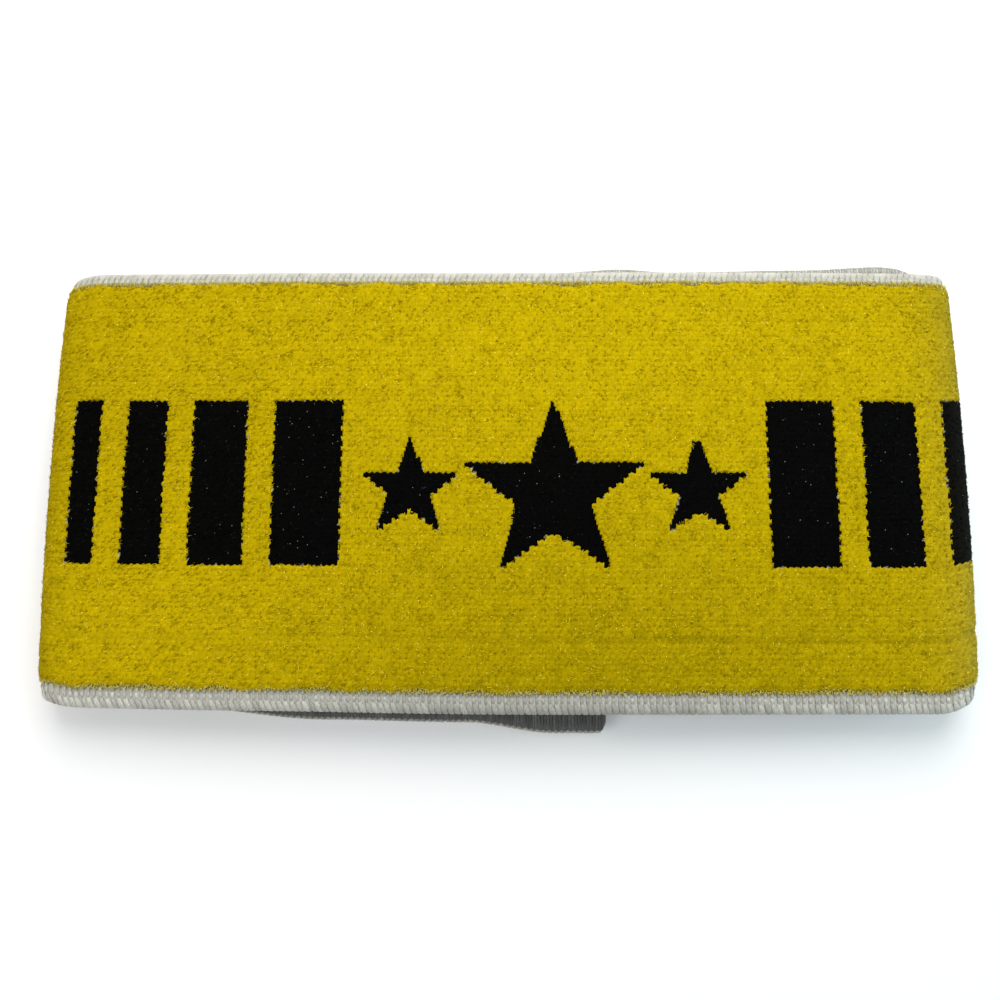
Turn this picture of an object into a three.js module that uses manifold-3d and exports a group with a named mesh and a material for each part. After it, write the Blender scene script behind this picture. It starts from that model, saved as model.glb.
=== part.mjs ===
import * as THREE from "three";
import { mergeVertices } from "three/addons/utils/BufferGeometryUtils.js";
import Module from "manifold-3d";

// A captain armband: one length of wide knitted elastic tape, its two ends lapped into a loop.
// The loop lies flat as it is stored, on its back layer, with the front layer slightly crowned.
// The white ground tape has a thicker selvedge along both edges and carries a yellow pile face,
// into which black bars and stars are knitted.
// Millimetres. X runs from fold to fold, Y across the tape (-Y is the near edge) and Z is up.
// The origin is under the middle of the loop, on the surface that it lies on.

// Size of the loop
const flatLength = 147.4;
const foldHeight = 8.6;
const crownRise = 1.6;

// Tape
const tapeWidth = 70;
const nearSelvedgeWidth = 3.4;
const farSelvedgeWidth = 2.3;
const selvedgeThickness = 1.6;
const groundThickness = 1.0;
const pileHeight = 1.0;
const pileClearance = 0.3;
const pileEdgeRadius = 0.6;
const creaseInset = 7.2;
const creaseWidth = 1.2;
const creaseDepth = 0.45;

// Lapped ends: the outer end lies underneath, the inner end climbs over it
const lapEndX = 16.2;
const lapLength = 22;
const lapClearance = 0.3;
const rampLength = 12;
const rampLead = 1.2;

// Black motifs, which come twice in the loop: a group of three stars and a group of bars.
// The bars' widths and gaps are parts of the length that the stars leave free.
const starCentreX = 7.8;
const motifHeight = 26;
const colourGap = 0.3;
const starPoints = 5;
const starInnerShare = 0.42;
const smallStarShare = 0.55;
const starGap = 1.2;
const groupGap = 2.9;
const barParts = [5, 4, 3, 2, 3, 4, 5];
const barGapParts = 2;

// Steps of the faceted surfaces
const foldSteps = 10;
const crownSteps = 18;
const floorStepLength = 9;
const widthStepLength = 17;
const rampSteps = 6;
const selvedgeSteps = 6;

// How far the tape has crept sideways, as a share of its width, at shares of its length.
// The lapped ends were sewn a little out of line, and the back layer shows at both edges.
const creep = [
  { along: 0.0, sideways: -0.056 },
  { along: 0.026, sideways: -0.056 },
  { along: 0.07, sideways: -0.033 },
  { along: 0.14, sideways: -0.028 },
  { along: 0.22, sideways: 0.0 },
  { along: 0.28, sideways: 0.007 },
  { along: 0.38, sideways: 0.002 },
  { along: 0.52, sideways: -0.004 },
  { along: 0.725, sideways: -0.003 },
  { along: 0.78, sideways: 0.05 },
  { along: 0.82, sideways: 0.043 },
  { along: 0.88, sideways: 0.04 },
  { along: 1.0, sideways: 0.014 },
];

// The tape is drawn in where it turns over, and each fold bows outwards at its middle
const foldNarrowing = 0.033;
const foldReach = 7.7;
const foldBow = 0.8;

// The path is the outer face of the ground tape, seen along Y and run clockwise from the outer end
const pileTop = pileClearance + pileHeight;
const foldRadius = foldHeight / 2 - pileTop;
const foldCentreX = flatLength / 2 - foldHeight / 2;
const foldCentreZ = foldHeight / 2;
const crownTilt = 2 * Math.atan(crownRise / foldCentreX);
const crownRadius = foldRadius + foldCentreX / Math.sin(crownTilt);
const crownCentreZ = foldCentreZ - (crownRadius - foldRadius) * Math.cos(crownTilt);
const lapRise = groundThickness + pileTop + lapClearance;
const rampTopX = lapEndX + rampLead;
const rampFootX = rampTopX + rampLength;
const innerEndX = lapEndX - lapLength;

// A straight run towards -X with its face down, at one height
function floorRun(fromX, toX, height) {
  const length = fromX - toX;
  const steps = Math.max(1, Math.round(length / floorStepLength));
  const point = (share) => ({ x: fromX - share * length, z: height, nx: 0, nz: -1 });
  return { length, steps, point };
}

// An arc run clockwise, from the outward angle where it starts through a sweep
function arcRun(centreX, centreZ, radius, fromAngle, sweep, steps) {
  const point = (share) => {
    const angle = fromAngle - share * sweep;
    const nx = Math.cos(angle);
    const nz = Math.sin(angle);
    return { x: centreX + radius * nx, z: centreZ + radius * nz, nx, nz };
  };
  return { length: radius * sweep, steps, point };
}

// The climb of the inner end over the outer end
function rampRun() {
  const point = (share) => {
    const slope = (6 * share * (1 - share) * lapRise) / rampLength;
    const tilt = Math.hypot(1, slope);
    return {
      x: rampFootX - share * rampLength,
      z: pileTop + lapRise * share * share * (3 - 2 * share),
      nx: -slope / tilt,
      nz: -1 / tilt,
    };
  };
  return { length: Math.hypot(rampLength, lapRise), steps: rampSteps, point };
}

// The stars' sizes follow the height of the motifs
const halfTurn = Math.PI / starPoints;
const largeStarRadius = motifHeight / (1 + Math.cos(halfTurn));
const smallStarRadius = largeStarRadius * smallStarShare;
const smallStarSpacing = (largeStarRadius + smallStarRadius) * Math.cos(halfTurn / 2) + starGap;

const down = -Math.PI / 2;
const up = Math.PI / 2;
const foldSweep = Math.PI - crownTilt;
const runs = [
  floorRun(lapEndX, -foldCentreX, pileTop),
  arcRun(-foldCentreX, foldCentreZ, foldRadius, down + 2 * Math.PI, foldSweep, foldSteps),
  arcRun(0, crownCentreZ, crownRadius, up + crownTilt, 2 * crownTilt, crownSteps),
  arcRun(foldCentreX, foldCentreZ, foldRadius, up - crownTilt, foldSweep, foldSteps),
  floorRun(foldCentreX, rampFootX, pileTop),
  rampRun(),
  floorRun(rampTopX, innerEndX, pileTop + lapRise),
];
let tapeLength = 0;
for (const run of runs) {
  run.start = tapeLength;
  tapeLength += run.length;
}
const [, leftFold, crown, rightFold] = runs;
const stations = runs.flatMap((run) =>
  Array.from({ length: run.steps }, (_, i) => run.start + (run.length * i) / run.steps),
);
stations.push(tapeLength);

function sidewaysAt(along) {
  const share = THREE.MathUtils.clamp(along / tapeLength, 0, 1);
  const last = Math.max(1, creep.findIndex((row) => row.along >= share));
  const from = creep[last - 1];
  const to = creep[last];
  const part = THREE.MathUtils.smoothstep(share, from.along, to.along);
  return tapeWidth * THREE.MathUtils.lerp(from.sideways, to.sideways, part);
}

function narrowingAt(along) {
  const middles = [leftFold, rightFold].map((fold) => fold.start + fold.length / 2);
  const nearest = Math.min(...middles.map((middle) => Math.abs(along - middle)));
  return 1 - foldNarrowing * (1 - THREE.MathUtils.smoothstep(nearest, 0, foldReach));
}

// A place on the tape: along its path, across its width, and out from the ground's outer face
function tapePoint(along, across, out) {
  const run = runs.findLast(({ start }) => start <= along) ?? runs[0];
  const { x, z, nx, nz } = run.point((along - run.start) / run.length);
  const y = across * narrowingAt(along) + sidewaysAt(along);
  const bowed = 1 - (2 * foldBow * (2 * across / tapeWidth) ** 2) / flatLength;
  return new THREE.Vector3((x + out * nx) * bowed, y, z + out * nz);
}

// An outline extruded in steps, with each corner then moved to its place on the tape
function bentSolid(outline, depth, steps, place) {
  const shape = new THREE.Shape(outline.map(([x, y]) => new THREE.Vector2(x, y)));
  const geometry = new THREE.ExtrudeGeometry(shape, { depth, steps, bevelEnabled: false });
  geometry.deleteAttribute("normal");
  geometry.deleteAttribute("uv");
  const { position } = geometry.attributes;
  for (let i = 0; i < position.count; i++) {
    position.setXYZ(i, ...place(position.getX(i), position.getY(i), position.getZ(i)));
  }
  const merged = mergeVertices(geometry, 1e-4);
  return new wasm.Manifold(
    new wasm.Mesh({
      numProp: 3,
      vertProperties: merged.attributes.position.array,
      triVerts: Uint32Array.from(merged.index.array),
    }),
  );
}

// A section's long sides are divided, so that they follow the bow of the folds
function divided(section) {
  return section.flatMap(([across, out], i) => {
    const [nextAcross, nextOut] = section[(i + 1) % section.length];
    const steps = Math.max(1, Math.ceil(Math.abs(nextAcross - across) / widthStepLength));
    return Array.from({ length: steps }, (_, k) => [
      THREE.MathUtils.lerp(across, nextAcross, k / steps),
      THREE.MathUtils.lerp(out, nextOut, k / steps),
    ]);
  });
}

// A section of [across, out] corners, swept along part of the tape
function sweep(section, from, to) {
  const between = stations.filter((along) => along > from + 0.01 && along < to - 0.01);
  const levels = [from, ...between, to];
  const steps = levels.length - 1;
  return bentSolid(divided(section), steps, steps, (across, out, level) =>
    tapePoint(levels[Math.round(level)], across, out),
  );
}

// A section from the corners of its +Y half and, mirrored, of its -Y half
function bothSides(far, near) {
  return [...far, ...near.map(([across, out]) => [-across, out]).reverse()];
}

// The ground tape's section: a flat web with a rounded selvedge along each edge
function groundSection() {
  const halfWidth = tapeWidth / 2;
  const round = selvedgeThickness / 2;
  const middle = round - groundThickness;
  const side = (selvedgeWidth) => {
    const shoulder = halfWidth - selvedgeWidth;
    const corners = [[shoulder, 0], [shoulder + round / 2, middle + round]];
    for (let i = 0; i <= selvedgeSteps; i++) {
      const angle = up - (i / selvedgeSteps) * Math.PI;
      corners.push([halfWidth - round + round * Math.cos(angle), middle + round * Math.sin(angle)]);
    }
    return corners;
  };
  return bothSides(side(farSelvedgeWidth), side(nearSelvedgeWidth));
}

// The pile's section: a flat slab with rounded upper edges, and a crease along its -Y side
function pileSection() {
  const edgeBeside = (selvedgeWidth) => tapeWidth / 2 - selvedgeWidth - pileClearance;
  const side = (edge) => [
    [edge, pileClearance],
    ...[0, Math.PI / 4, Math.PI / 2].map((angle) => [
      edge - pileEdgeRadius * (1 - Math.cos(angle)),
      pileTop - pileEdgeRadius * (1 - Math.sin(angle)),
    ]),
  ];
  const nearEdge = edgeBeside(nearSelvedgeWidth);
  const crease = nearEdge - creaseInset;
  const near = [
    ...side(nearEdge),
    [crease + creaseWidth / 2, pileTop],
    [crease, pileTop - creaseDepth],
    [crease - creaseWidth / 2, pileTop],
  ];
  return bothSides(side(edgeBeside(farSelvedgeWidth)), near);
}

// A cutter reaches past both faces of the pile, but not to the other layer of the lap
const cutMargin = 0.7 * (groundThickness + lapClearance);
const cutLow = pileClearance - cutMargin;
const cutHigh = pileTop + cutMargin;

function barCutter({ centre, width }, grown) {
  const halfHeight = motifHeight / 2 + grown;
  const halfWidth = width / 2 + grown;
  const side = [[halfHeight, cutLow], [halfHeight, cutHigh]];
  const section = bothSides(side, side);
  return sweep(section, centre - halfWidth, centre + halfWidth);
}

// A star with a point towards +Y on the front, centred on its own height
function starCutter({ centre, width }, grown) {
  const radius = width / 2;
  const lift = (radius * (1 - Math.cos(halfTurn))) / 2;
  const outline = Array.from({ length: 2 * starPoints }, (_, i) => {
    const reach = i % 2 ? radius * starInnerShare + grown : radius + 2 * grown;
    const angle = up + i * halfTurn;
    return [centre + reach * Math.cos(angle), reach * Math.sin(angle) - lift];
  });
  return bentSolid(outline, cutHigh - cutLow, 1, (along, across, out) =>
    tapePoint(along, across, cutLow + out),
  );
}

// The whole black motifs in order along the tape, each group of stars and then its group of bars
function motifs() {
  const repeat = (tapeLength - lapLength) / 2;
  const starsLength = 2 * smallStarSpacing + 2 * smallStarRadius;
  const barsLength = repeat - starsLength - 2 * groupGap;
  const allParts = barParts.reduce((sum, parts) => sum + parts + barGapParts, -barGapParts);
  const part = barsLength / allParts;
  const frontStar = crown.start + crownRadius * (crownTilt + Math.asin(starCentreX / crownRadius));
  const groups = [
    { star: frontStar - repeat, starPlace: "back", barPlace: "left" },
    { star: frontStar, starPlace: "front", barPlace: "right" },
    { star: frontStar + repeat, starPlace: "lap", barPlace: "lap" },
  ];
  return groups.flatMap(({ star, starPlace, barPlace }) => {
    const stars = [smallStarRadius, largeStarRadius, smallStarRadius].map((radius, i) => ({
      name: `black_star_${starPlace}_${i + 1}`,
      cutter: starCutter,
      centre: star + (i - 1) * smallStarSpacing,
      width: 2 * radius,
    }));
    let from = star + starsLength / 2 + groupGap;
    const bars = barParts.map((parts, i) => {
      const width = parts * part;
      const centre = from + width / 2;
      from += width + barGapParts * part;
      return { name: `black_bar_${barPlace}_${i + 1}`, cutter: barCutter, centre, width };
    });
    return [...stars, ...bars].filter(({ centre, width }) => {
      const reach = width / 2 + 2 * colourGap;
      return centre > reach && centre < tapeLength - reach;
    });
  });
}

const yellow = new THREE.MeshStandardMaterial({ color: 0xe6c400, roughness: 0.9, metalness: 0 });
const black = new THREE.MeshStandardMaterial({ color: 0x101110, roughness: 0.95, metalness: 0 });
const white = new THREE.MeshStandardMaterial({ color: 0xe4e2d8, roughness: 0.8, metalness: 0 });

function meshOf(name, solid, material) {
  const made = solid.getMesh();
  const geometry = new THREE.BufferGeometry();
  geometry.setAttribute("position", new THREE.BufferAttribute(Float32Array.from(made.vertProperties), 3));
  geometry.setIndex(new THREE.BufferAttribute(Uint32Array.from(made.triVerts), 1));
  geometry.computeVertexNormals();
  const mesh = new THREE.Mesh(geometry, material);
  mesh.name = name;
  return mesh;
}

const wasm = await Module();
wasm.setup();

const armband = new THREE.Group();
armband.add(meshOf("ground_tape", sweep(groundSection(), 0, tapeLength), white));

const pile = sweep(pileSection(), 0, tapeLength);
let yellowPile = pile;
for (const motif of motifs()) {
  armband.add(meshOf(motif.name, pile.intersect(motif.cutter(motif, 0)), black));
  yellowPile = yellowPile.subtract(motif.cutter(motif, colourGap));
}
armband.add(meshOf("yellow_pile", yellowPile, yellow));

// The whole loop is centred over the origin and set down on its back layer
const box = new THREE.Box3().setFromObject(armband);
const centre = box.getCenter(new THREE.Vector3());
armband.position.set(-centre.x, -centre.y, -box.min.z);

export default armband;
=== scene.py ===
import math

import bmesh
import bpy
import numpy as np
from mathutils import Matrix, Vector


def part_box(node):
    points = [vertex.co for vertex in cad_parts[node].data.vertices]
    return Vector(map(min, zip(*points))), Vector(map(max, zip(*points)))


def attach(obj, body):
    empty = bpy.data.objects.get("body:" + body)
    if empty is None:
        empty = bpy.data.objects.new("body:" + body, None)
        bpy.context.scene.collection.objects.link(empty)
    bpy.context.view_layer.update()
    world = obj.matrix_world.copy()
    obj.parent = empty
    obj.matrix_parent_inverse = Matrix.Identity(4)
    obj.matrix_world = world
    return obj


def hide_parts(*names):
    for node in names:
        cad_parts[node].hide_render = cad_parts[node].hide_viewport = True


# A captain armband lying flat: a loop of wide knitted elastic with white selvedges,
# a yellow plush face and black plush motifs knitted into it.
# The tape is worked flat, in millimetres along it, across it and out from its ground,
# and then laid round the loop in metres, where the solid model has it.

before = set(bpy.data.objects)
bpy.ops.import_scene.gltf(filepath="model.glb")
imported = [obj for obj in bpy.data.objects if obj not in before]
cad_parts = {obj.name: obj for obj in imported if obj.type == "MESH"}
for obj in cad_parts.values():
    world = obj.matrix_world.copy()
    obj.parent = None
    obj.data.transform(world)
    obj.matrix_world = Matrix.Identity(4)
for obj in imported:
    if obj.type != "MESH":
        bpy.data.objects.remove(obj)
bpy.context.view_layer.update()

# Sizes of the loop and the tape in millimetres, as in the solid model
FLAT_LENGTH = 147.4
FOLD_HEIGHT = 8.6
CROWN_RISE = 1.6
TAPE_WIDTH = 70
NEAR_SELVEDGE = 3.4
FAR_SELVEDGE = 2.3
GROUND = 1.0
PILE_CLEARANCE = 0.3
PILE_HEIGHT = 1.0
CREASE_INSET = 7.2
LAP_END_X = 16.2
LAP_LENGTH = 22
LAP_CLEARANCE = 0.3
RAMP_LENGTH = 12
RAMP_LEAD = 1.2
FOLD_NARROWING = 0.033
FOLD_REACH = 7.7
FOLD_BOW = 0.8

# How far the tape has crept sideways, as a share of its width, at shares of its length
CREEP = np.array([
    [0.0, -0.056],
    [0.026, -0.056],
    [0.07, -0.033],
    [0.14, -0.028],
    [0.22, 0.0],
    [0.28, 0.007],
    [0.38, 0.002],
    [0.52, -0.004],
    [0.725, -0.003],
    [0.78, 0.05],
    [0.82, 0.043],
    [0.88, 0.04],
    [1.0, 0.014],
])

# Black motifs, as in the solid model
STAR_CENTRE_X = 7.8
MOTIF_HEIGHT = 26
STAR_POINTS = 5
STAR_INNER_SHARE = 0.42
SMALL_STAR_SHARE = 0.55
STAR_GAP = 1.2
STAR_SLACK = 0.14
GROUP_GAP = 2.9
BAR_PARTS = [5, 4, 3, 2, 3, 4, 5]
BAR_GAP_PARTS = 2

# The knitting: a course is one stitch along the tape and a row is one across it
COURSE = 0.96
COLUMNS = 4
COLUMN = COURSE / COLUMNS
ROWS = 79
PILE_NEAR = NEAR_SELVEDGE - TAPE_WIDTH / 2
PILE_FAR = TAPE_WIDTH / 2 - FAR_SELVEDGE
ROW = (PILE_FAR - PILE_NEAR) / ROWS
CREASE_ACROSS = PILE_NEAR + PILE_CLEARANCE + CREASE_INSET
CREASE_ROW = 12
END_CORNER = 1.3

# The front takes in part of each fold, and the back's ends are tucked under it by some columns
FOLD_SHARE = 0.25
OVERLAP = 3
TUCK = 0.3

# Relief of the pile, in millimetres
STITCH_TOP = 1.14
STITCH_DOME = 0.1
LUMP_RISE = 0.07
ROUGHNESS = 0.035
COLOUR_DIP = 0.1
BARE_DIP = 0.12
CREASE_DEPTH = 0.3
CREASE_WIDTH = 0.62
SIDE_HEIGHT = 0.42
SIDE_ROLL = 1.3
END_ROLL = 0.8

# The share of corners between two colours where the ground shows, and of the painted sheen on the black
BARE_SHARE = 0.03
PAINTED_SHEEN_ON_BLACK = 0.3

# Camera, set to the photograph
CAMERA_PLACE = (0.001596, -0.020794, 0.136295)
CAMERA_TURN = (0.1416, 0.0168, 0.0012)
CAMERA_LENS = 29.77

# The line that the tape follows round the loop
PILE_TOP = PILE_CLEARANCE + PILE_HEIGHT
FOLD_RADIUS = FOLD_HEIGHT / 2 - PILE_TOP
FOLD_X = FLAT_LENGTH / 2 - FOLD_HEIGHT / 2
FOLD_Z = FOLD_HEIGHT / 2
CROWN_TILT = 2 * math.atan(CROWN_RISE / FOLD_X)
CROWN_RADIUS = FOLD_RADIUS + FOLD_X / math.sin(CROWN_TILT)
CROWN_Z = FOLD_Z - (CROWN_RADIUS - FOLD_RADIUS) * math.cos(CROWN_TILT)
FOLD_SWEEP = math.pi - CROWN_TILT
LAP_RISE = GROUND + PILE_TOP + LAP_CLEARANCE
RAMP_TOP_X = LAP_END_X + RAMP_LEAD
RAMP_FOOT_X = RAMP_TOP_X + RAMP_LENGTH
INNER_END_X = LAP_END_X - LAP_LENGTH


def floor_run(from_x, to_x, height):
    def point(share):
        flat = np.zeros_like(share)
        return from_x - share * (from_x - to_x), height + flat, flat, flat - 1

    return from_x - to_x, point


def arc_run(centre_x, centre_z, radius, from_angle, sweep):
    def point(share):
        angle = from_angle - share * sweep
        nx, nz = np.cos(angle), np.sin(angle)
        return centre_x + radius * nx, centre_z + radius * nz, nx, nz

    return radius * sweep, point


def ramp_run():
    def point(share):
        slope = 6 * share * (1 - share) * LAP_RISE / RAMP_LENGTH
        tilt = np.hypot(1, slope)
        height = PILE_TOP + LAP_RISE * share * share * (3 - 2 * share)
        return RAMP_FOOT_X - share * RAMP_LENGTH, height, -slope / tilt, -1 / tilt

    return math.hypot(RAMP_LENGTH, LAP_RISE), point


RUNS = [
    floor_run(LAP_END_X, -FOLD_X, PILE_TOP),
    arc_run(-FOLD_X, FOLD_Z, FOLD_RADIUS, 1.5 * math.pi, FOLD_SWEEP),
    arc_run(0, CROWN_Z, CROWN_RADIUS, math.pi / 2 + CROWN_TILT, 2 * CROWN_TILT),
    arc_run(FOLD_X, FOLD_Z, FOLD_RADIUS, math.pi / 2 - CROWN_TILT, FOLD_SWEEP),
    floor_run(FOLD_X, RAMP_FOOT_X, PILE_TOP),
    ramp_run(),
    floor_run(RAMP_TOP_X, INNER_END_X, PILE_TOP + LAP_RISE),
]
# Where each run starts along the tape, and where the last one ends
STARTS = np.concatenate([[0], np.cumsum([length for length, _ in RUNS])])
LEFT_FOLD, CROWN_START, RIGHT_FOLD, RIGHT_FOLD_END = STARTS[1:5]
TAPE_LENGTH = STARTS[-1]
FOLD_MIDDLES = [(LEFT_FOLD + CROWN_START) / 2, (RIGHT_FOLD + RIGHT_FOLD_END) / 2]


def ease(value, low, high):
    share = np.clip((value - low) / (high - low), 0, 1)
    return share * share * (3 - 2 * share)


def bell(distance, width):
    return np.exp(-((distance / width) ** 2))


def quarter_round(inward, reach):
    """A height from 0 at an edge to 1 at a reach inward, round like a quarter circle."""
    return np.sqrt(np.clip(1 - (1 - np.clip(inward / reach, 0, 1)) ** 2, 0, 1))


def sideways(along):
    share = np.clip(along / TAPE_LENGTH, 0, 1)
    row = np.clip(np.searchsorted(CREEP[:, 0], share), 1, len(CREEP) - 1)
    part = ease(share, CREEP[row - 1, 0], CREEP[row, 0])
    return TAPE_WIDTH * (CREEP[row - 1, 1] * (1 - part) + CREEP[row, 1] * part)


def narrowing(along):
    nearest = np.minimum(*[np.abs(along - middle) for middle in FOLD_MIDDLES])
    return 1 - FOLD_NARROWING * (1 - ease(nearest, 0, FOLD_REACH))


def end_rounding(along):
    """The corners of the cut ends are rounded."""
    inward = np.clip(np.minimum(along, TAPE_LENGTH - along), 0, END_CORNER)
    cut = END_CORNER - np.sqrt(END_CORNER ** 2 - (END_CORNER - inward) ** 2)
    return 1 - cut / (TAPE_WIDTH / 2)


def round_the_loop(flat):
    """Places on the loop, in millimetres, of points given along, across and out of the flat tape."""
    along, across, out = flat.T
    run = np.clip(np.searchsorted(STARTS, along, side="right") - 1, 0, len(RUNS) - 1)
    places = np.zeros_like(flat)
    for i, (length, point) in enumerate(RUNS):
        here = run == i
        x, z, nx, nz = point((along[here] - STARTS[i]) / length)
        places[here, 0] = x + out[here] * nx
        places[here, 2] = z + out[here] * nz
    places[:, 0] *= 1 - 2 * FOLD_BOW * (2 * across / TAPE_WIDTH) ** 2 / FLAT_LENGTH
    places[:, 1] = across * narrowing(along) * end_rounding(along) + sideways(along)
    return places


def tape_shift():
    """How far the loop is moved sideways so that the solid model's box is centred."""
    samples = 2000
    along = np.repeat(np.linspace(0, TAPE_LENGTH, samples), 2)
    across = np.tile([-TAPE_WIDTH / 2, TAPE_WIDTH / 2], samples)
    edges = round_the_loop(np.stack([along, across, 0 * along], 1))[:, 1]
    low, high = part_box("ground_tape")
    return (low.y + high.y) / 2 * 1000 - (edges.min() + edges.max()) / 2


LOOP_SHIFT = np.array([0, tape_shift(), 0])


# Random unevenness

def random_net(seed, *counts):
    """A net of random values from -1 to 1."""
    return np.random.default_rng(seed).uniform(-1, 1, counts)


def pick_from(net, i, j):
    """The values at some places of a net, which repeats beyond its edges."""
    return net[..., i % net.shape[-2], j % net.shape[-1]]


def soft_noise(along, across, size, seed):
    """Smooth random heights from -1 to 1, in lumps of about one size."""
    heights = random_net(seed, 97, 89)
    a, b = along / size, across / size
    i, j = np.floor(a).astype(int), np.floor(b).astype(int)
    s, t = ease(a - i, 0, 1), ease(b - j, 0, 1)
    near = pick_from(heights, i, j) * (1 - s) + pick_from(heights, i + 1, j) * s
    far = pick_from(heights, i, j + 1) * (1 - s) + pick_from(heights, i + 1, j + 1) * s
    return near * (1 - t) + far * t


def soft_wave(along, size, seed):
    """A smooth random wave along the tape."""
    return soft_noise(along, 0 * along, size, seed)


# Pieces

def mesh_points(mesh):
    points = np.zeros(len(mesh.vertices) * 3, np.float32)
    mesh.vertices.foreach_get("co", points)
    return points.reshape(-1, 3).astype(float)


def mesh_corners(mesh):
    """The number of the point at each corner of each face."""
    corners = np.zeros(len(mesh.loops), np.int32)
    mesh.loops.foreach_get("vertex_index", corners)
    return corners


def lay_on_loop(name, mesh, flat, finish, values=()):
    """Lays a flat worked mesh round the loop, with its flat places as its UV map."""
    tape = mesh.uv_layers.new(name="tape")
    tape.data.foreach_set("uv", flat[mesh_corners(mesh), :2].astype(np.float32).ravel())
    for value_name, value in values:
        layer = mesh.attributes.new(value_name, "FLOAT", "POINT")
        layer.data.foreach_set("value", value.astype(np.float32))
    places = (round_the_loop(flat) + LOOP_SHIFT) / 1000
    mesh.vertices.foreach_set("co", places.astype(np.float32).ravel())
    mesh.polygons.foreach_set("use_smooth", np.full(len(mesh.polygons), True))
    mesh.materials.append(finish)
    mesh.name = name
    mesh.update()
    piece = bpy.data.objects.new(name, mesh)
    bpy.context.scene.collection.objects.link(piece)
    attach(piece, "root")
    return piece


def mesh_of(worked):
    mesh = bpy.data.meshes.new("worked")
    worked.to_mesh(mesh)
    worked.free()
    return mesh


def repeat_piece(worked, count, spacing):
    """Copies what is worked so far along X, one spacing apart, doubling it each time."""
    made = 1
    while made < count:
        whole = worked.verts[:] + worked.edges[:] + worked.faces[:]
        copies = bmesh.ops.duplicate(worked, geom=whole)["geom"]
        corners = [part for part in copies if isinstance(part, bmesh.types.BMVert)]
        bmesh.ops.translate(worked, vec=(made * spacing, 0, 0), verts=corners)
        made *= 2
    extra = [corner for corner in worked.verts if corner.co.x > (count - 0.5) * spacing]
    bmesh.ops.delete(worked, geom=extra, context="VERTS")


# The black motifs

HALF_TURN = math.pi / STAR_POINTS
LARGE_STAR = MOTIF_HEIGHT / (1 + math.cos(HALF_TURN))
SMALL_STAR = LARGE_STAR * SMALL_STAR_SHARE
STAR_SPACING = (LARGE_STAR + SMALL_STAR) * math.cos(HALF_TURN / 2) + STAR_GAP


def list_motifs():
    """Each motif's name, kind, centre along the tape and width, in the solid model's order."""
    repeat = (TAPE_LENGTH - LAP_LENGTH) / 2
    stars_length = 2 * STAR_SPACING + 2 * SMALL_STAR
    bars_length = repeat - stars_length - 2 * GROUP_GAP
    part = bars_length / (sum(BAR_PARTS) + BAR_GAP_PARTS * (len(BAR_PARTS) - 1))
    front_star = CROWN_START + CROWN_RADIUS * (CROWN_TILT + math.asin(STAR_CENTRE_X / CROWN_RADIUS))
    found = []
    for turn, star_place, bar_place in ((-1, "back", "left"), (0, "front", "right"), (1, "lap", "lap")):
        star = front_star + turn * repeat
        for i, radius in enumerate((SMALL_STAR, LARGE_STAR, SMALL_STAR)):
            centre = star + (i - 1) * STAR_SPACING
            found.append((f"black_star_{star_place}_{i + 1}", "star", centre, 2 * radius))
        start = star + stars_length / 2 + GROUP_GAP
        for i, parts in enumerate(BAR_PARTS):
            width = parts * part
            found.append((f"black_bar_{bar_place}_{i + 1}", "bar", start + width / 2, width))
            start += width + BAR_GAP_PARTS * part
    return [motif for motif in found if motif[0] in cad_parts]


MOTIFS = list_motifs()


def inside_star(along, across, radius):
    """Whether a place, measured from the star's middle, is inside its outline."""
    across = across + radius * (1 - math.cos(HALF_TURN)) / 2
    turn = np.abs((np.arctan2(along, across) + HALF_TURN) % (2 * HALF_TURN) - HALF_TURN)
    reach = np.hypot(along, across)
    inner = radius * STAR_INNER_SHARE
    # Distance from the edge between a point of the star and the inner corner beside it
    edge_x, edge_y = inner * math.sin(HALF_TURN), inner * math.cos(HALF_TURN) - radius
    x, y = reach * np.sin(turn), reach * np.cos(turn) - radius
    return edge_x * y - edge_y * x < STAR_SLACK * math.hypot(edge_x, edge_y)


def motif_of_stitch(along, across):
    """The number of the motif that a stitch belongs to, from 1, or 0 on the yellow."""
    number = np.zeros(along.shape, int)
    for i, (_, kind, centre, width) in enumerate(MOTIFS):
        offset = along - centre
        if kind == "bar":
            inside = (np.abs(offset) < width / 2) & (np.abs(across) < MOTIF_HEIGHT / 2)
        else:
            inside = inside_star(offset, across, width / 2)
        number[inside] = i + 1
    return number


# The plush face

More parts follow.
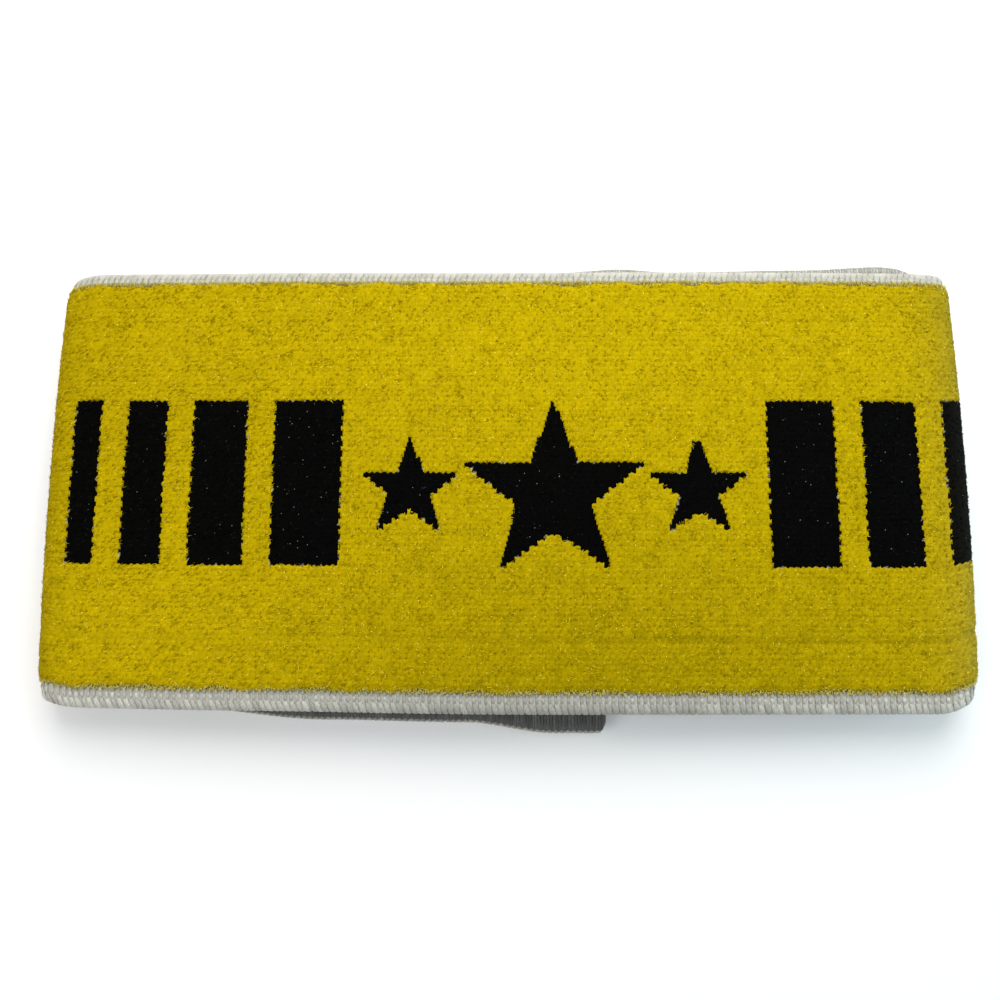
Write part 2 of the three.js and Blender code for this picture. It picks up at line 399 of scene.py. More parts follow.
class Plush:
    """A stretch of the pile face: its stitches lie in rows, each half a stitch off the next."""

    def __init__(self, per_row):
        self.per_row = per_row
        self.line = ROW / per_row

    def part_of_stitch(self, column, row):
        """How far across its stitch a column is, as a share."""
        return ((column + self.shift(row)) % COLUMNS) / COLUMNS

    def shift(self, row):
        return (row % 2) * (COLUMNS // 2)

    def motif(self, column, line):
        """The colour changes at every half stitch, a quarter of a stitch off from row to row."""
        row = line // self.per_row
        half = (column + row % 2) // 2
        return motif_of_stitch((2 * half + 1 - row % 2) * COLUMN, PILE_NEAR + (row + 0.5) * ROW)

    def stitches(self, column, line):
        """Flat places of the pile's corners, with how high each stands and how light its crown is
        painted, as painted light on the domes and painted shade in the holes.
        """
        row = line // self.per_row
        on_row = line % self.per_row == 0
        a = self.part_of_stitch(column, row)
        b = (line % self.per_row) / self.per_row
        below = self.part_of_stitch(column, row - 1)
        along = column * COLUMN + 0.0
        across = PILE_NEAR + line * self.line
        fullness = pick_from(random_net(11, 512, 128), (column + self.shift(row)) // COLUMNS, row)
        dome = np.sin(math.pi * a) ** 0.7 * (0.4 + 0.6 * np.sin(math.pi * b) ** 0.6)
        jog = pick_from(random_net(12, 3, 4096, 256), column, line)
        # The rows lock into each other, each stitch between two of the next row
        lock = np.where(on_row, 0.13 * (np.cos(2 * math.pi * a) - np.cos(2 * math.pi * below)) / 2, 0)
        along = along + 0.055 * jog[0] + 0.12 * soft_noise(along, across, 2.3, 21)
        across = across - lock + 0.05 * jog[1] + 0.1 * soft_noise(along, across, 2.1, 22)
        # A small hole shows at every second stitch of every second row, with painted shade in it
        hole = on_row & (column % (4 * COLUMNS) == (row % 2) * 2 * COLUMNS)
        depth = 0.5 + 0.5 * soft_noise(along, across, 9, 23)
        lumps = 0.6 * soft_noise(along, across, 1.9, 24) + 0.4 * soft_noise(along, across, 0.75, 25)
        height = STITCH_TOP + STITCH_DOME * (dome - 0.5) * (1 + 0.5 * fullness)
        height = height + LUMP_RISE * lumps + ROUGHNESS * jog[2]
        height -= np.where(hole, 0.08 + 0.14 * depth, 0)
        tone_and_painted_shading = 0.5 + 0.34 * (dome - 0.5) + 0.16 * lumps + 0.13 * jog[2] + 0.17 * fullness
        tone_and_painted_shading -= np.where(hole, 0.22 + 0.26 * depth, 0)
        return along, across, height, tone_and_painted_shading

    def painted_light_and_shade(self, along, across):
        """Painted light and shade: how much lighter or darker the pile is painted from place to place, as
        the light falls on it.
        """
        # Painted shade on the near side, most in its middle, and painted light towards the far side and
        # on the near left
        middle = bell(along - CROWN_START - 85, 52)
        lighter = middle * (0.2 * np.clip(across / 30, 0, 0.6) + 0.44 * np.clip(across / 30, -1, 0))
        lighter += 0.24 * bell(along - CROWN_START - 12, 30) * ease(-across, -8, 22)
        # Painted shade on the folds, the left one more on the near side
        lighter -= 0.2 * bell(along - LEFT_FOLD - 5.2, 1.6)
        lighter -= (0.4 - 0.1 * np.clip(across / 20, -1, 1)) * bell(along - LEFT_FOLD - 5.2, 5.5)
        lighter -= 0.42 * bell(along - RIGHT_FOLD_END + 5.4, 2.8)
        lighter -= 0.33 * ease(across, -20, 15) * bell(along - RIGHT_FOLD - 0.7, 4)
        return lighter

    def painted_sheen(self, along, across):
        """A painted sheen on the right fold, pale and cool, stronger on the near side."""
        strength = 0.12 - 0.03 * np.clip(across / 30, -1, 1)
        return np.exp(-np.abs(along - RIGHT_FOLD - 4.2) / 2.6) * strength

    def crease(self, along, across):
        """The groove along the near side, deeper to the right."""
        line = CREASE_ACROSS + 0.3 * soft_wave(along, 11, 26)
        line = line + 0.16 * soft_wave(along, 2.6, 27)
        groove = bell(across - line, CREASE_WIDTH) * (0.8 + 0.3 * soft_wave(along, 5, 28))
        return groove * (0.35 + 0.65 * ease(along, CROWN_START + 40, CROWN_START + 110))

    def colour_change(self, column, line):
        """Where two colours meet, and where the ground shows between them."""
        around = [self.motif(column - i, line - j) for i in (0, 1) for j in (0, 1)]
        meets = np.any([number != around[0] for number in around[1:]], axis=0)
        pick = pick_from(np.random.default_rng(13).uniform(0, 1, (1024, 256)), column, line)
        return meets, meets & (pick < BARE_SHARE)

    def surface(self, column, line):
        """Flat places of the pile's corners, their tone with painted light and shade, the bare ground and
        the painted sheen.
        """
        along, across, height, tone_and_painted_shading = self.stitches(column, line)
        tone_and_painted_shading += self.painted_light_and_shade(along, across)
        groove = self.crease(along, across)
        height -= CREASE_DEPTH * groove
        # The groove is also painted darker, as painted shade
        tone_and_painted_shading -= 0.3 * groove
        meets, bare = self.colour_change(column, line)
        height -= np.where(meets, COLOUR_DIP, 0) + BARE_DIP * bare
        tone_and_painted_shading -= np.where(meets & ~bare, 0.1, 0)
        painted_sheen = self.painted_sheen(along, across)
        # The sides roll down to the ground in soft scallops, with painted shade where they roll
        for end, side in ((0, -1), (ROWS * self.per_row, 1)):
            inward = np.abs(line - end) * self.line
            wave = 0.34 * soft_wave(along, 3.9, 30 + side) + 0.26 * soft_wave(along, 1.1, 33 + side)
            across = across + side * wave * np.exp(-inward / 0.9)
            roll = quarter_round(inward, SIDE_ROLL)
            height = height * (0.5 + 0.5 * roll)
            tone_and_painted_shading = tone_and_painted_shading - 0.1 * (1 - roll)
            height = np.where(line == end, SIDE_HEIGHT, height)
        # The cut ends roll down too
        for end in (0, TAPE_LENGTH):
            height = height * quarter_round(np.abs(along - end), END_ROLL)
        along = np.clip(along, 0.02, TAPE_LENGTH - 0.02)
        return np.stack([along, across, height], 1), tone_and_painted_shading, bare, painted_sheen


def worked_plush(name, plush, columns, lines, number, finish, tuck=(0, 0)):
    """The part of the pile between two columns and two lines that is of one motif, or yellow."""
    worked = bmesh.new()
    wide, deep = columns[1] - columns[0], lines[1] - lines[0]
    bmesh.ops.create_grid(worked, x_segments=wide, y_segments=deep, size=0.5)
    mesh = mesh_of(worked)
    points = mesh_points(mesh)
    column = np.rint((points[:, 0] + 0.5) * wide).astype(int) + columns[0]
    line = np.rint((points[:, 1] + 0.5) * deep).astype(int) + lines[0]
    flat, tone_and_painted_shading, bare, painted_sheen = plush.surface(column, line)
    # The painted sheen of the right fold is carried with the bare ground and takes its pale colour
    bare = np.maximum(bare, painted_sheen * (PAINTED_SHEEN_ON_BLACK if number else 1))
    # An end that goes under the next stretch is lowered
    for end, lowered in zip(columns, tuck):
        flat[:, 2] -= lowered * np.clip(1 - np.abs(column - end) / OVERLAP, 0, 1)
    corners = mesh_corners(mesh).reshape(-1, 4)
    drop = plush.motif(column[corners].min(1), line[corners].min(1)) != number
    mark = mesh.attributes.new("mark", "INT", "POINT")
    mark.data.foreach_set("value", np.arange(len(points), dtype=np.int32))
    worked = bmesh.new()
    worked.from_mesh(mesh)
    bpy.data.meshes.remove(mesh)
    unwanted = [face for face, wrong in zip(worked.faces, drop) if wrong]
    bmesh.ops.delete(worked, geom=unwanted, context="FACES")
    mesh = mesh_of(worked)
    kept = np.zeros(len(mesh.vertices), np.int32)
    mesh.attributes["mark"].data.foreach_get("value", kept)
    mesh.attributes.remove(mesh.attributes["mark"])
    values = (("tone_and_painted_shading", tone_and_painted_shading[kept]), ("bare", bare[kept]))
    return lay_on_loop(name, mesh, flat[kept], finish, values)


# Yarn and fibres

YARN_SPACING = 2
FIBRE_SPACING = 1.5


def worked_rod(sides, rings, tip):
    """A closed rod one long and one thick, or a cone where it has no tip."""
    worked = bmesh.new()
    bmesh.ops.create_cone(
        worked, cap_ends=True, segments=sides, radius1=0.5, radius2=tip / 2, depth=1)
    long_edges = [
        edge for edge in worked.edges if abs(edge.verts[0].co.z - edge.verts[1].co.z) > 0.5]
    if rings > 1:
        bmesh.ops.subdivide_edges(worked, edges=long_edges, cuts=rings - 1)
    return worked


def yarn_row(name, line, width, rise, finish, seed, pitch=COURSE, sides=6, rings=5):
    """A row of short lengths of yarn, one at each course, each laid along a line of flat places."""
    start, end_margin, look_ahead = 0.5, 0.6, 0.06
    count = int((TAPE_LENGTH - start - end_margin) / pitch)
    worked = worked_rod(sides, rings, 1)
    repeat_piece(worked, count, YARN_SPACING)
    mesh = mesh_of(worked)
    points = mesh_points(mesh)
    course = np.rint(points[:, 0] / YARN_SPACING).astype(int)
    share = points[:, 2] + 0.5
    line = np.array(line, float)
    knots = np.linspace(0, 1, len(line))

    def place_at(share):
        return np.stack([np.interp(share, knots, line[:, i]) for i in range(3)], 1)

    run = place_at(share + look_ahead) - place_at(share - look_ahead)
    run /= np.linalg.norm(run[:, 1:], axis=1, keepdims=True)
    taper = np.sin(math.pi * np.clip(share, 0.07, 0.93)) ** 0.5
    vary = random_net(seed, 4, count)[:, course]
    flat = place_at(share)
    flat[:, 0] += start + course * pitch + 0.07 * vary[0]
    flat[:, 0] += (points[:, 0] - YARN_SPACING * course) * width * taper * (1 + 0.12 * vary[1])
    thick = points[:, 1] * rise * taper * (1 + 0.1 * vary[2])
    flat[:, 1] -= run[:, 2] * thick
    flat[:, 2] += run[:, 1] * thick + 0.04 * vary[3]
    # Painted shade: darker towards the ends of each length and under the edge, and in the middle of the
    # near side
    tone = 0.5 + 0.3 * vary[1] + 0.2 * (taper - 0.7) - 0.5 * (flat[:, 2] < -0.3)
    tone -= 0.56 * bell(flat[:, 0] - CROWN_START - 75, 38) * (flat[:, 1] < 0)
    return lay_on_loop(name, mesh, flat, finish, (("tone_and_painted_shading", tone),))


def fibres(name, scattered, thick, finish):
    """Loose fibres of the pile, each a fine cone from its root, turned and raised by its angles."""
    roots, turns, rises, lengths = scattered
    worked = worked_rod(3, 1, 0)
    repeat_piece(worked, len(roots), FIBRE_SPACING)
    mesh = mesh_of(worked)
    points = mesh_points(mesh)
    which = np.rint(points[:, 0] / FIBRE_SPACING).astype(int)
    share = points[:, 2] + 0.5
    turn, rise, length = turns[which], rises[which], lengths[which]
    ahead = np.stack([np.cos(turn) * np.cos(rise), np.sin(turn) * np.cos(rise), np.sin(rise)], 1)
    side = np.stack([-np.sin(turn), np.cos(turn), 0 * turn], 1)
    top = np.cross(ahead, side)
    flat = roots[which] + ahead * (length * share)[:, None]
    pick = np.random.default_rng(41).uniform(0, 1, len(roots))[which]
    thick = thick * (0.8 + 0.5 * pick)
    flat += side * ((points[:, 0] - FIBRE_SPACING * which) * thick)[:, None]
    flat += top * (points[:, 1] * thick)[:, None]
    # One fibre in eight has a painted glint, most at its root, and each fibre is painted lighter towards
    # its tip
    lit = (pick > 0.88) * (1 - 0.3 * share)
    return lay_on_loop(
        name, mesh, flat, finish, (("tone_and_painted_shading", 0.3 + 0.3 * share + 0.6 * pick), ("lit", lit)))


# Finishes

def new_finish(name):
    finish = bpy.data.materials.new(name)
    finish.use_nodes = True
    finish.node_tree.nodes.clear()
    return finish, finish.node_tree.nodes, finish.node_tree.links


def value_of(nodes, links, operation, first, second, clamp=False):
    """A sum of two numbers, or another operation on them, each a number or a socket."""
    node = nodes.new("ShaderNodeMath")
    node.operation = operation
    node.use_clamp = clamp
    for socket, value in zip(node.inputs, (first, second)):
        if isinstance(value, (int, float)):
            socket.default_value = value
        else:
            links.new(value, socket)
    return node.outputs[0]


def from_middle(nodes, links, value, middle, factor, clamp=False):
    """How far a value is from a middle one, times a factor."""
    away = value_of(nodes, links, "SUBTRACT", value, middle)
    return value_of(nodes, links, "MULTIPLY", away, factor, clamp)


def colour_between(nodes, links, share, first, second):
    """A mix of two colours, each a colour or a socket."""
    node = nodes.new("ShaderNodeMix")
    node.data_type = "RGBA"
    links.new(share, node.inputs[0])
    for socket, colour in zip((node.inputs[6], node.inputs[7]), (first, second)):
        if isinstance(colour, tuple):
            socket.default_value = (*colour, 1)
        else:
            links.new(colour, socket)
    return node.outputs[2]


def noise_of(nodes, links, place, scale, detail, rough=0.5):
    node = nodes.new("ShaderNodeTexNoise")
    links.new(place, node.inputs["Vector"])
    node.inputs["Scale"].default_value = scale
    node.inputs["Detail"].default_value = detail
    node.inputs["Roughness"].default_value = rough
    return node.outputs[0]


def tape_place(nodes):
    node = nodes.new("ShaderNodeUVMap")
    node.uv_map = "tape"
    return node.outputs[0]


def combed_place(nodes, links, place, stretch, turn=0):
    """The place on the tape, stretched so that a pattern runs in streaks."""
    node = nodes.new("ShaderNodeMapping")
    node.inputs["Rotation"].default_value = (0, 0, math.radians(turn))
    node.inputs["Scale"].default_value = (*stretch, 1)
    links.new(place, node.inputs["Vector"])
    return node.outputs[0]


def named_value(nodes, name):
    node = nodes.new("ShaderNodeAttribute")
    node.attribute_name = name
    return node.outputs["Fac"]


def surface_of(nodes, links, colour, height, depth, rough, sheen, specular):
    """The shader and its bump, with even values on the shader's own sockets."""
    bump = nodes.new("ShaderNodeBump")
    bump.inputs["Strength"].default_value = 1
    bump.inputs["Distance"].default_value = depth
    links.new(height, bump.inputs["Height"])
    shader = nodes.new("ShaderNodeBsdfPrincipled")
    shader.inputs["Roughness"].default_value = rough
    shader.inputs["Sheen Weight"].default_value = sheen
    shader.inputs["Sheen Roughness"].default_value = 0.4
    shader.inputs["Specular IOR Level"].default_value = specular
    links.new(colour, shader.inputs["Base Color"])
    links.new(bump.outputs[0], shader.inputs["Normal"])
    output = nodes.new("ShaderNodeOutputMaterial")
    links.new(shader.outputs[0], output.inputs["Surface"])


def glints_of(nodes, links, place, scale, share, reach):
    """Small spots where a fibre catches the light, in a share of the cells of a fine net."""
    cells = nodes.new("ShaderNodeTexVoronoi")
    cells.inputs["Scale"].default_value = scale
    links.new(place, cells.inputs["Vector"])
    split = nodes.new("ShaderNodeSeparateColor")
    links.new(cells.outputs["Color"], split.inputs[0])
    chosen = value_of(nodes, links, "LESS_THAN", split.outputs[0], share)
    close = value_of(nodes, links, "LESS_THAN", cells.outputs["Distance"], reach)
    return value_of(nodes, links, "MULTIPLY", chosen, close)


def plush_finish(name, deep, bright, lit, glint, glint_share, bare_and_sheen_colour):
    """Short plush: fibres in streaks, painted lighter on the crowns of the stitches as painted light and
    shade, with small painted glints.
    """
    finish, nodes, links = new_finish(name)
    place = tape_place(nodes)
    combed = combed_place(nodes, links, place, (0.26, 1), turn=-24)
    streaks = noise_of(nodes, links, combed, 5.2, 3, 0.6)
    curls = noise_of(nodes, links, place, 3.4, 3, 0.6)
    patches = noise_of(nodes, links, place, 0.075, 2)
    height = value_of(nodes, links, "ADD", streaks, curls)
    tone_and_painted_shading = value_of(nodes, links, "MULTIPLY", named_value(nodes, "tone_and_painted_shading"), 0.62)
    tone = value_of(nodes, links, "ADD", from_middle(nodes, links, height, 1, 0.85), tone_and_painted_shading)
    patches = value_of(nodes, links, "ADD", from_middle(nodes, links, patches, 0.5, 0.08), 0.2)
    tone = value_of(nodes, links, "ADD", tone, patches, clamp=True)
    colour = colour_between(nodes, links, tone, deep, bright)
    colour = colour_between(nodes, links, named_value(nodes, "lit"), colour, lit)
    glints = glints_of(nodes, links, place, 2.6, glint_share, 0.2)
    colour = colour_between(nodes, links, glints, colour, glint)
    # The bare ground and the painted sheen share one pale colour
    colour = colour_between(nodes, links, named_value(nodes, "bare"), colour, bare_and_sheen_colour)
    surface_of(nodes, links, colour, height, depth=0.00005, rough=0.9, sheen=0, specular=0.03)
    return finish


def elastic_finish(name, shade, light, painted_inner_shade, rib_pitch, depth):
    """White knitted elastic: fine ribs across the tape and an off-white yarn, with painted shade in
    places.
    """
    finish, nodes, links = new_finish(name)
    place = tape_place(nodes)
    ribs = nodes.new("ShaderNodeTexWave")
    ribs.inputs["Scale"].default_value = 1 / rib_pitch * math.tau / 20
    ribs.inputs["Distortion"].default_value = 0.6
    ribs.inputs["Detail Scale"].default_value = 1.5
    links.new(place, ribs.inputs["Vector"])
    yarn = noise_of(nodes, links, place, 4.5, 3, 0.6)
    height = value_of(nodes, links, "ADD", value_of(nodes, links, "MULTIPLY", ribs.outputs[1], 0.8), yarn)
    tone = value_of(nodes, links, "MULTIPLY", height, 0.55, clamp=True)
    colour = colour_between(nodes, links, tone, shade, light)
    colour = colour_between(nodes, links, named_value(nodes, "painted_inner_shade"), colour, painted_inner_shade)
    surface_of(nodes, links, colour, height, depth, rough=0.8, sheen=0.08, specular=0.25)
    return finish


def yarn_finish(name, shade, light, stain):
    """White yarn of the selvedge: fine plies, with a few faint brown marks."""
    finish, nodes, links = new_finish(name)
    place = tape_place(nodes)
    plies = noise_of(nodes, links, combed_place(nodes, links, place, (1, 0.3)), 6.5, 3, 0.65)
    twist = from_middle(nodes, links, plies, 0.5, 1.9)
    tone = value_of(nodes, links, "ADD", named_value(nodes, "tone_and_painted_shading"), twist, clamp=True)
    colour = colour_between(nodes, links, tone, shade, light)
    marks = noise_of(nodes, links, place, 0.34, 3, 0.65)
    marks = from_middle(nodes, links, marks, 0.66, 5, clamp=True)
    colour = colour_between(nodes, links, marks, colour, stain)
    surface_of(nodes, links, colour, plies, depth=0.00015, rough=0.8, sheen=0.1, specular=0.2)
    return finish


YELLOW = plush_finish(
    "yellow plush", deep=(0.246, 0.184, 0.0002), bright=(0.55, 0.394, 0.0006),
    lit=(0.86, 0.7, 0.035), glint=(0.8, 0.68, 0.12), glint_share=0.04, bare_and_sheen_colour=(0.45, 0.44, 0.3))
YELLOW_FRINGE = plush_finish(
    "yellow fringe over white", deep=(0.46, 0.38, 0.05), bright=(0.72, 0.63, 0.13),
    lit=(0.66, 0.6, 0.2), glint=(0.6, 0.55, 0.2), glint_share=0, bare_and_sheen_colour=(0.45, 0.44, 0.3))
BLACK = plush_finish(
    "black plush", deep=(0.0004, 0.0005, 0.0004), bright=(0.0016, 0.0019, 0.0014),
    lit=(0.016, 0.017, 0.014), glint=(0.16, 0.16, 0.14), glint_share=0.03, bare_and_sheen_colour=(0.4, 0.39, 0.28))
GROUND_WHITE = elastic_finish(
    "white knitted elastic", shade=(0.44, 0.43, 0.385), light=(0.6, 0.588, 0.53),
    painted_inner_shade=(0.15, 0.15, 0.145), rib_pitch=0.48, depth=0.00012)
# Two copies of one white yarn, with painted light and shade: the second has deeper painted shade and
# brighter painted light
YARN_WHITE = yarn_finish(
    "white selvedge yarn", shade=(0.41, 0.4, 0.352), light=(0.56, 0.547, 0.484), stain=(0.34, 0.25, 0.13))
YARN_WHITE_PAINTED_LIGHT_AND_SHADE = yarn_finish(
    "white selvedge yarn with painted light and shade", shade=(0.33, 0.325, 0.29), light=(0.63, 0.617, 0.548),
    stain=(0.3, 0.23, 0.13))
# The near inner ribs are white yarn painted dark grey, as painted shade under the front layer
YARN_INNER_PAINTED_SHADE = yarn_finish(
    "white inner yarn, dark as painted shade", shade=(0.1, 0.1, 0.097), light=(0.27, 0.27, 0.26), stain=(0.11, 0.09, 0.06))


# The ground tape

# The selvedge's rounded side from its upper face to its lower one, across and out
SELVEDGE_SIDE = [
    (34.0, 0.46), (34.55, 0.22), (34.75, -0.2), (34.55, -0.6), (34.1, -0.84), (33.2, -0.92),
    (31.5, -0.98), (28, -1.0)]
WEB_INNER = [(across, -1.0) for across in (21, 14, 7, 0, -7, -14, -21)]
WEB_OUTER = [(across, 0.02) for across in (-26, -18, -9, 0, 9, 18, 26)]


def worked_ground():
    """The white ground, a flat web with a fuller selvedge along each side, under its yarns."""
    def side(selvedge):
        shoulder = TAPE_WIDTH / 2 - selvedge
        return [(shoulder - 0.3, 0.1), (shoulder + 0.5, 0.5)] + SELVEDGE_SIDE

    near = [(-across, out) for across, out in reversed(side(NEAR_SELVEDGE))]
    section = side(FAR_SELVEDGE) + WEB_INNER + near + WEB_OUTER
    steps = int(round(TAPE_LENGTH / (COURSE / 2)))
    worked = bmesh.new()
    ring = bmesh.ops.create_circle(worked, segments=len(section), radius=1)["verts"]
    for corner, (across, out) in zip(ring, section):
        corner.co = (0, across, out)
    bmesh.ops.spin(
        worked, geom=worked.verts[:] + worked.edges[:], cent=(0, 0, 0), axis=(1, 0, 0),
        dvec=(TAPE_LENGTH / steps, 0, 0), angle=0, steps=steps, use_duplicate=False)
    open_edges = [edge for edge in worked.edges if edge.is_boundary]
    bmesh.ops.holes_fill(worked, edges=open_edges, sides=0)
    bmesh.ops.recalc_face_normals(worked, faces=worked.faces[:])
    mesh = mesh_of(worked)
    flat = mesh_points(mesh)
    inner_face = flat[:, 2] < -0.5
    flat[:, 2] += np.where(inner_face, 0.03, 0.0) * soft_noise(flat[:, 0], flat[:, 1], 1.3, 51)
    # Inside the loop the near side is painted grey, as painted shade
    painted_inner_shade = ease(-flat[:, 1], -6, 24) * inner_face
    return lay_on_loop(
        "white_ground_tape", mesh, flat, GROUND_WHITE, (("painted_inner_shade", painted_inner_shade),))


ground_tape = worked_ground()
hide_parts("ground_tape")

# Selvedge yarns: two tiers of short loops beside the pile, wraps round the edge, and inner ribs,
# each drawn along, across and out from one end of the yarn to the other
near_loops = [(0, -31.3, 0.3), (0, -31.7, 0.62), (0.01, -32.1, 0.66), (0.03, -32.55, 0.45)]
near_second_loops = [(0, -32.2, 0.4), (0.02, -32.6, 0.64), (0.06, -33.0, 0.64), (0.1, -33.45, 0.42)]
near_wraps = [
    (-0.06, -32.7, 0.3), (0.16, -33.5, 0.55), (0.38, -34.1, 0.5), (0.58, -34.62, 0.2),
    (0.7, -34.83, -0.2), (0.78, -34.65, -0.55), (0.82, -34.3, -0.72)]
near_ribs = [
    (0, -34.45, -0.8), (0, -33.2, -1.0), (0.02, -31.6, -1.02), (0.03, -29.8, -1.02),
    (0.03, -28.4, -0.95)]
far_loops = [(0, 32.5, 0.35), (0, 32.9, 0.6), (0.02, 33.3, 0.62), (0.04, 33.75, 0.45)]
far_wraps = [
    (-0.06, 32.9, 0.34), (0.14, 33.7, 0.55), (0.3, 34.25, 0.46), (0.46, 34.65, 0.18),
    (0.56, 34.83, -0.2), (0.62, 34.65, -0.55), (0.66, 34.3, -0.72)]
far_ribs = [(along, -across, out) for along, across, out in near_ribs]
wrap = {"sides": 7, "rings": 6}
rib = {"pitch": COURSE / 2, "sides": 4, "rings": 4}
yarns = [
    yarn_row("near_selvedge_loops", near_loops, 0.6, 0.3, YARN_WHITE_PAINTED_LIGHT_AND_SHADE, 61),
    yarn_row("near_selvedge_second_loops", near_second_loops, 0.62, 0.3, YARN_WHITE_PAINTED_LIGHT_AND_SHADE, 62),
    yarn_row("near_selvedge_wraps", near_wraps, 1.0, 0.24, YARN_WHITE_PAINTED_LIGHT_AND_SHADE, 63, **wrap),
    yarn_row("near_selvedge_inner_ribs", near_ribs, 0.5, 0.24, YARN_INNER_PAINTED_SHADE, 64, **rib),
    yarn_row("far_selvedge_loops", far_loops, 0.9, 0.18, YARN_WHITE, 65),
    yarn_row("far_selvedge_wraps", far_wraps, 1.15, 0.15, YARN_WHITE, 66, **wrap),
    yarn_row("far_selvedge_inner_ribs", far_ribs, 0.5, 0.24, YARN_WHITE_PAINTED_LIGHT_AND_SHADE, 67, **rib),
]

# The plush face: the front and its near band beyond the crease, and the two parts of the back
front, back = Plush(3), Plush(2)
front_start = int((LEFT_FOLD + FOLD_SHARE * (CROWN_START - LEFT_FOLD)) / COLUMN)
front_end = int((RIGHT_FOLD_END - FOLD_SHARE * (RIGHT_FOLD_END - RIGHT_FOLD)) / COLUMN)
tape_end = int(math.ceil(TAPE_LENGTH / COLUMN))
crease_line = CREASE_ROW * front.per_row
front_top, back_top = ROWS * front.per_row, ROWS * back.per_row
stretches = [
    ("yellow_pile_front", front, (front_start, front_end), (crease_line, front_top), (0, 0)),
    ("yellow_pile_near_band", front, (front_start, front_end), (0, crease_line), (0, 0)),
    ("yellow_pile_back_left", back, (0, front_start + OVERLAP), (0, back_top), (0, TUCK)),
    ("yellow_pile_back_right", back, (front_end - OVERLAP, tape_end), (0, back_top), (TUCK, 0)),
]
for name, plush, columns, lines, tuck in stretches:
    piece = worked_plush(name, plush, columns, lines, 0, YELLOW, tuck)
    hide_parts("yellow_pile")
low_row = int((-MOTIF_HEIGHT / 2 - PILE_NEAR) / ROW) - 2
high_row = int((MOTIF_HEIGHT / 2 - PILE_NEAR) / ROW) + 3
for i, (name, _, centre, width) in enumerate(MOTIFS):
    first = int((centre - width / 2) / COLUMN) - COLUMNS
    last = int((centre + width / 2) / COLUMN) + 2 * COLUMNS
    plush = front if last > front_start and first < front_end else back
    piece = worked_plush(
        name + "_plush", plush, (max(0, first), min(tape_end, last)),
        (low_row * plush.per_row, high_row * plush.per_row), i + 1, BLACK)
    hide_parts(name)


# Loose fibres of the plush on the front and both folds, lying the way that it is brushed

def scatter(density, seed):
    """Roots on the front, with the way that each fibre leans, its rise and its length."""
    random = np.random.default_rng(seed)
    start, end, margin = front_start * COLUMN, front_end * COLUMN, 0.25
    count = int((end - start) * (PILE_FAR - PILE_NEAR) * density)
    along = random.uniform(start, end, count)
    across = random.uniform(PILE_NEAR + margin, PILE_FAR - margin, count)
    brushed = 1 - ease(along, CROWN_START + 20, CROWN_START + 75)
    turns = math.radians(24) + random.normal(0, 1, count) * (0.35 + 1.6 * (1 - brushed))
    rises = random.uniform(0.04, 0.34, count)
    lengths = random.uniform(0.42, 0.95, count) * (0.75 + 0.35 * brushed)
    roots = np.stack([along, across, random.uniform(1.06, 1.2, count)], 1)
    roots[:, 2] -= 0.27 * bell(across - CREASE_ACROSS, CREASE_WIDTH)
    return roots, turns, rises, lengths


def fringe(density, seed):
    """Roots along both sides of the pile, each fibre leaning out over the selvedge."""
    random = np.random.default_rng(seed)
    count = int(TAPE_LENGTH * density)
    parts = []
    for side, edge in ((-1, PILE_NEAR), (1, PILE_FAR)):
        along = random.uniform(0.5, TAPE_LENGTH - 0.5, count)
        across = edge - side * random.uniform(-0.1, 0.8, count)
        turns = side * math.pi / 2 + random.normal(0, 0.6, count)
        rises = random.uniform(-0.2, 0.2, count)
        lengths = random.uniform(0.3, 0.9, count)
        roots = np.stack([along, across, random.uniform(0.7, 1.0, count)], 1)
        parts.append((roots, turns, rises, lengths))
    return [np.concatenate(part) for part in zip(*parts)]


scattered = scatter(3.1, 71)
of_black = motif_of_stitch(scattered[0][:, 0], scattered[0][:, 1]) > 0
on_yellow, on_black = [part[~of_black] for part in scattered], [part[of_black] for part in scattered]
fibre_pieces = [
    fibres("yellow_pile_fibres", on_yellow, 0.145, YELLOW),
    fibres("black_pile_fibres", on_black, 0.13, BLACK),
    fibres("yellow_pile_fringe", fringe(26, 72), 0.15, YELLOW_FRINGE),
]


# The lap is sewn down by two rows of stitches through both ends

STITCHES = 24
STITCH_PITCH = 2.6
STITCH_LENGTH = 2.2
STITCH_WIDTH = 0.34
STITCH_THICKNESS = 0.3
STITCH_OUT = 1.12
END_SEAM = 3.4
SECOND_SEAM = 18.2


def stitch_row(name, along, out, seed):
    worked = worked_rod(5, 4, 1)
    repeat_piece(worked, STITCHES, YARN_SPACING)
    mesh = mesh_of(worked)
    points = mesh_points(mesh)
    which = np.rint(points[:, 0] / YARN_SPACING)
    share = points[:, 2]
    arch = math.copysign(0.12, out) * np.cos(math.pi * share)
    flat = np.stack([
        along + (points[:, 0] - YARN_SPACING * which) * STITCH_WIDTH,
        (which - (STITCHES - 1) / 2) * STITCH_PITCH + share * STITCH_LENGTH,
        out + arch + points[:, 1] * STITCH_THICKNESS,
    ], 1)
    vary = np.random.default_rng(seed).uniform(-0.12, 0.12, STITCHES)[which.astype(int)]
    flat[:, 0] += vary
    return lay_on_loop(name, mesh, flat, YARN_WHITE, (("tone_and_painted_shading", 0 * vary + 0.6),))


stitches = [
    stitch_row("lap_stitches_outer_end", END_SEAM, STITCH_OUT, 81),
    stitch_row("lap_stitches_outer_second", SECOND_SEAM, STITCH_OUT, 82),
    stitch_row("lap_stitches_inner_end", TAPE_LENGTH - END_SEAM, -STITCH_OUT, 83),
    stitch_row("lap_stitches_inner_second", TAPE_LENGTH - SECOND_SEAM, -STITCH_OUT, 84),
]


# Floor, light and camera

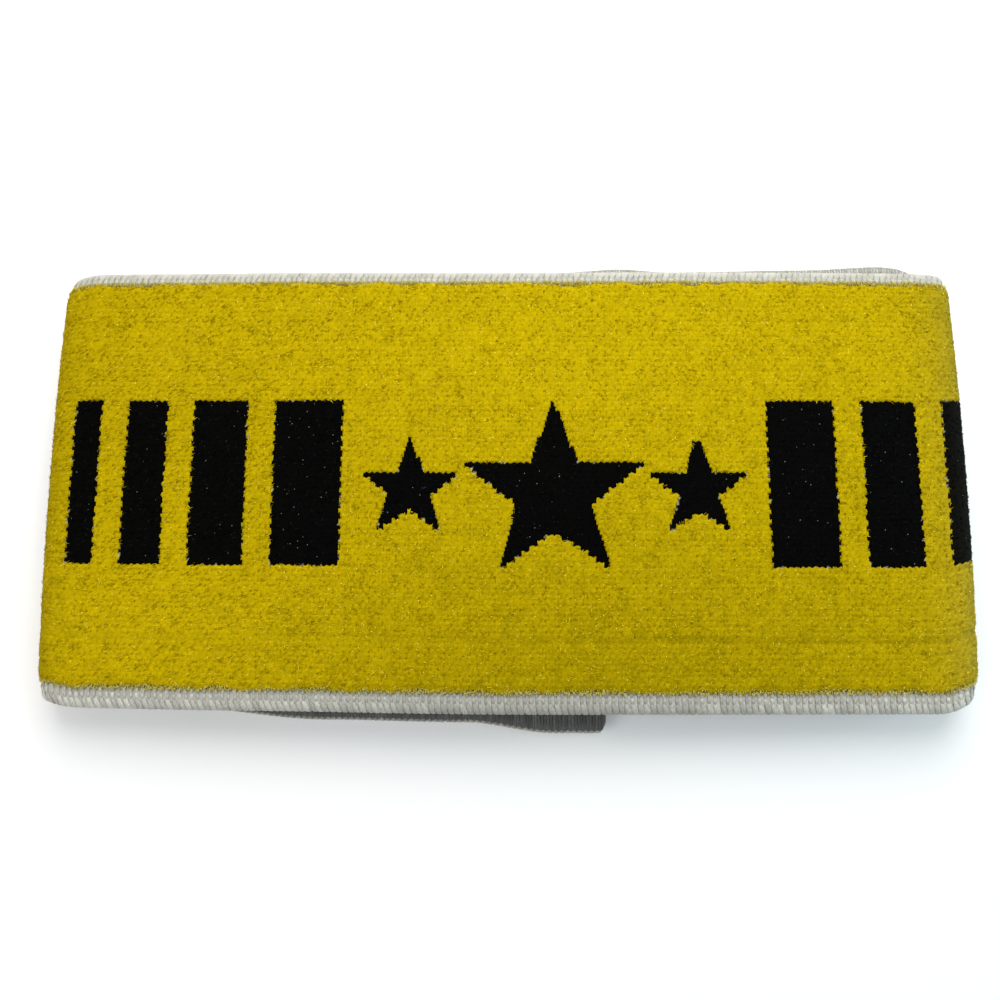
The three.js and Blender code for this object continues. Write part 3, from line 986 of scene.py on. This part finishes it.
def plain_floor():
    worked = bmesh.new()
    bmesh.ops.create_grid(worked, x_segments=2, y_segments=2, size=1.5)
    floor = bpy.data.objects.new("floor", mesh_of(worked))
    bpy.context.scene.collection.objects.link(floor)
    finish, nodes, links = new_finish("pale floor")
    shader = nodes.new("ShaderNodeBsdfPrincipled")
    shader.inputs["Base Color"].default_value = (0.95, 0.95, 0.95, 1)
    shader.inputs["Roughness"].default_value = 0.9
    shader.inputs["Specular IOR Level"].default_value = 0.1
    output = nodes.new("ShaderNodeOutputMaterial")
    links.new(shader.outputs[0], output.inputs["Surface"])
    floor.data.materials.append(finish)


def soft_light(name, place, size, power, colour):
    """A round light that is aimed at the armband's middle."""
    light = bpy.data.lights.new(name, "AREA")
    light.shape = "DISK"
    light.size = size
    light.energy = power
    light.color = colour
    lamp = bpy.data.objects.new(name, light)
    bpy.context.scene.collection.objects.link(lamp)
    x, y, z = place
    tilt = math.atan2(z, math.hypot(x, y))
    turn = math.atan2(-y, -x)
    lamp.location = place
    lamp.rotation_euler = (math.pi / 2 - tilt, 0, turn - math.pi / 2)
    lamp.visible_camera = False


plain_floor()
soft_light("window light", (0.02, 0.155, 0.16), 0.26, 0.61, (1, 0.99, 0.955))
soft_light("cool fill", (0.28, -0.03, 0.12), 0.2, 0.3, (0.55, 0.86, 1))
soft_light("side fill", (-0.25, -0.12, 0.2), 0.2, 0.29, (1, 0.98, 0.94))
world = bpy.data.worlds.new("pale room")
bpy.context.scene.world = world
world.use_nodes = True
background = world.node_tree.nodes["Background"]
background.inputs[0].default_value = (1, 1, 1, 1)
background.inputs[1].default_value = 0.48
bpy.context.scene.view_settings.view_transform = "Standard"

lens = bpy.data.cameras.new("camera")
lens.sensor_width = 36
lens.lens = CAMERA_LENS
lens.clip_start = 0.005
camera = bpy.data.objects.new("camera", lens)
bpy.context.scene.collection.objects.link(camera)
camera.location = np.array(CAMERA_PLACE) + LOOP_SHIFT / 1000
camera.rotation_euler = CAMERA_TURN
bpy.context.scene.camera = camera
